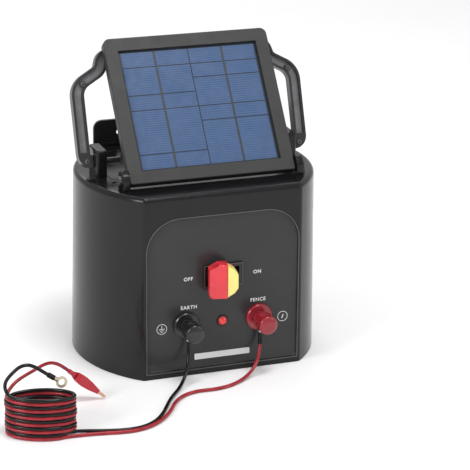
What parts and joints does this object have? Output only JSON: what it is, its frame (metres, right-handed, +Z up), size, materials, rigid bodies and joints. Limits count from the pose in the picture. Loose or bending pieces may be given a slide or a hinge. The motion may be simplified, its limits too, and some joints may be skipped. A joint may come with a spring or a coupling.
{
  "type": "solar fence energizer",
  "caption": "Solar electric-fence energizer: round black housing with a tilting panel, carrying handle, keyed switch, screw terminals and coiled clip leads.",
  "frame": {"origin": "on the resting plane, on the axis of the round housing", "axes": "+X to the right of the working face, +Y to the back, +Z up; the switch and terminals face -Y"},
  "size_m": [0.323, 0.266, 0.2785],
  "materials": {
    "housing_black": "glossy moulded black",
    "panel_black": "satin moulded black",
    "handle_black": "glossy moulded black",
    "cells": "blue solar cells under clear resin",
    "steel": "plain zinc-plated steel",
    "black_steel": "black powder-coated sheet",
    "switch_black": "glossy black",
    "paddle_red": "glossy red",
    "key_yellow": "glossy yellow",
    "lamp_red": "glossy red lens",
    "terminal_black": "glossy black",
    "terminal_red": "glossy dark red",
    "lead_black": "satin black cord jacket",
    "lead_red": "satin red cord jacket",
    "coil_red": "twin red and black cord",
    "copper": "plain copper-plated jaws",
    "battery_grey": "matt dark grey case",
    "board_green": "green laminate",
    "ferrite": "sintered dark grey core",
    "winding_tape": "yellow winding tape",
    "capacitor_blue": "blue sleeve",
    "nylon": "natural nylon"
  },
  "bodies": {
    "unit": {"housing_shell": "housing_black", "base_plate": "housing_black", "base_screws": "steel", "service_lid": "housing_black", "deck_screws": "steel", "hanging_plate": "black_steel", "hanging_plate_screws": "steel", "panel_lug_left": "housing_black", "panel_lug_right": "housing_black", "panel_pivot_screws": "steel", "panel_lead_grommet": "lead_black", "handle_post_left": "housing_black", "handle_post_right": "housing_black", "handle_axles": "steel", "switch_body": "switch_black", "lamp_holder": "switch_black", "lamp_lens": "lamp_red", "earth_terminal_collar": "terminal_black", "fence_terminal_collar": "terminal_red", "earth_stud": "steel", "fence_stud": "steel", "earth_lead_lug": "steel", "fence_lead_lug": "steel", "terminal_nuts": "steel", "earth_lead": "lead_black", "fence_lead": "lead_red", "fence_lead_sleeve": "lead_black", "lead_coil": "coil_red", "earth_tail": "lead_black", "fence_tail": "lead_red", "ring_terminal": "steel", "ring_terminal_sleeve": "lead_black", "clip_fixed_sleeve": "lead_red", "clip_fixed_jaw": "copper", "clip_pin": "steel", "clip_spring": "steel", "battery": "battery_grey", "battery_strap": "steel", "strap_screws": "steel", "circuit_board": "board_green", "board_standoffs": "nylon", "board_screws": "steel", "pulse_transformer_core": "ferrite", "pulse_transformer_winding": "winding_tape", "storage_capacitor": "capacitor_blue"},
    "panel": {"panel_frame": "panel_black", "solar_laminate": "cells", "panel_back": "panel_black", "panel_screws": "steel", "panel_junction_box": "panel_black"},
    "handle_bar": {"handle": "handle_black"},
    "paddle": {"switch_paddle": "paddle_red"},
    "key": {"safety_key": "key_yellow"},
    "earth_washer": {"earth_clamp_washer": "steel"},
    "earth_nut": {"earth_knob": "terminal_black"},
    "fence_washer": {"fence_clamp_washer": "steel"},
    "fence_nut": {"fence_knob": "terminal_red"},
    "clip_jaw": {"clip_moving_sleeve": "lead_red", "clip_moving_jaw": "copper"}
  },
  "joints": [
    {"name": "panel_tilt", "type": "hinge", "parent": "unit", "child": "panel", "pos_m": [0, -0.0483, 0.1735], "axis": [1, 0, 0], "range_deg": [0, 37]},
    {"name": "handle_swing", "type": "hinge", "parent": "unit", "child": "handle_bar", "pos_m": [0, 0, 0.177], "axis": [1, 0, 0], "range_deg": [-69.8, 0]},
    {"name": "switch_rocker", "type": "hinge", "parent": "unit", "child": "paddle", "pos_m": [0, -0.07465, 0.08944], "axis": [0, 0.014, 0.9999], "range_deg": [0, 28]},
    {"name": "key_pull", "type": "slide", "parent": "paddle", "child": "key", "axis": [-0.2419, -0.9702, 0.0136], "range_m": [0, 0.02]},
    {"name": "clip_bite", "type": "hinge", "parent": "unit", "child": "clip_jaw", "pos_m": [-0.13145, -0.10389, 0.01537], "axis": [-0.6583, -0.1456, -0.7385], "range_deg": [0, 15], "stiffness_Nm_per_rad": 0.08, "springref_deg": -17.19},
    {"name": "earth_clamp", "type": "slide", "parent": "unit", "child": "earth_washer", "axis": [0, -0.9999, 0.014], "range_m": [0, 0.003]},
    {"name": "earth_knob_turn", "type": "hinge", "parent": "earth_washer", "child": "earth_nut", "pos_m": [-0.0335, -0.08424, 0.04707], "axis": [0, -0.9999, 0.014], "range_deg": [0, 1080]},
    {"name": "fence_clamp", "type": "slide", "parent": "unit", "child": "fence_washer", "axis": [0, -0.9999, 0.014], "range_m": [0, 0.003]},
    {"name": "fence_knob_turn", "type": "hinge", "parent": "fence_washer", "child": "fence_nut", "pos_m": [0.0335, -0.08424, 0.04707], "axis": [0, -0.9999, 0.014], "range_deg": [0, 1080]}
  ],
  "couplings": [
    {"joint": "earth_knob_turn", "follows": "earth_clamp", "rad_per_m": 6283.2},
    {"joint": "fence_knob_turn", "follows": "fence_clamp", "rad_per_m": 6283.2}
  ]
}
